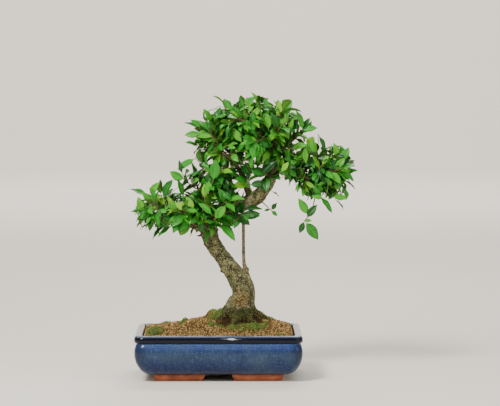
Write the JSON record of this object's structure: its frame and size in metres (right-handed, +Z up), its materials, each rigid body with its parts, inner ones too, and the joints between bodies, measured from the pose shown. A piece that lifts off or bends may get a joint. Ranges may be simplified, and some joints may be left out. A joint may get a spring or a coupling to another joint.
{
  "type": "bonsai tree in a pot",
  "caption": "Small curved fig bonsai with leafy pads of foliage and an aerial root, growing in a rectangular glazed pot on feet.",
  "frame": {"origin": "on the surface that the feet stand on, below the middle of the outline of pot and tree seen from above; the pot's middle lies 40.8 mm towards -X", "axes": "+Z up; +X to the right along the pot's long side, the way the tree sweeps; -Y is the front that the tree is shown from"},
  "size_m": [0.3422, 0.2, 0.443],
  "materials": {
    "glazed_pot": "glossy cobalt blue glaze over the walls and lip, bare clay feet",
    "drain_screen": "matte",
    "soil": "loose golden brown fired clay granules",
    "moss": "soft velvety moss",
    "bark": "rough grey brown bark with pale specks",
    "foliage": "glossy living leaves on thin green brown twigs"
  },
  "bodies": {
    "root": {"pot": "glazed_pot", "drain_screen_left": "drain_screen", "drain_screen_right": "drain_screen", "soil": "soil", "moss_corner": "moss", "moss_left_of_trunk": "moss", "moss_before_trunk": "moss", "trunk": "bark", "front_stem_1": "foliage", "front_stem_2": "foliage", "front_stem_3": "foliage", "little_shoot": "foliage", "hanging_stem": "foliage", "low_pad_stem_1": "foliage", "low_pad_stem_2": "foliage", "low_pad_stem_3": "foliage", "low_pad_stem_4": "foliage", "low_pad_stem_5": "foliage", "low_pad_stem_6": "foliage", "low_pad_stem_7": "foliage", "low_pad_stem_8": "foliage", "low_pad_stem_9": "foliage", "low_pad_stem_10": "foliage", "low_pad_stem_11": "foliage", "low_pad_stem_12": "foliage", "middle_stem_1": "foliage", "middle_stem_2": "foliage", "middle_stem_3": "foliage", "middle_stem_4": "foliage", "middle_stem_5": "foliage", "middle_stem_6": "foliage", "middle_stem_7": "foliage", "crown_stem_1": "foliage", "crown_stem_2": "foliage", "crown_stem_3": "foliage", "crown_stem_4": "foliage", "crown_stem_5": "foliage", "crown_stem_6": "foliage", "crown_stem_7": "foliage", "crown_stem_8": "foliage", "crown_stem_9": "foliage", "crown_stem_10": "foliage", "crown_stem_11": "foliage", "crown_stem_12": "foliage", "crown_stem_13": "foliage", "crown_stem_14": "foliage", "crown_stem_15": "foliage", "crown_stem_16": "foliage", "right_pad_stem_1": "foliage", "right_pad_stem_2": "foliage", "right_pad_stem_3": "foliage", "right_pad_stem_4": "foliage", "right_pad_stem_5": "foliage", "right_pad_stem_6": "foliage", "right_pad_stem_7": "foliage", "right_pad_stem_8": "foliage"}
  },
  "joints": []
}
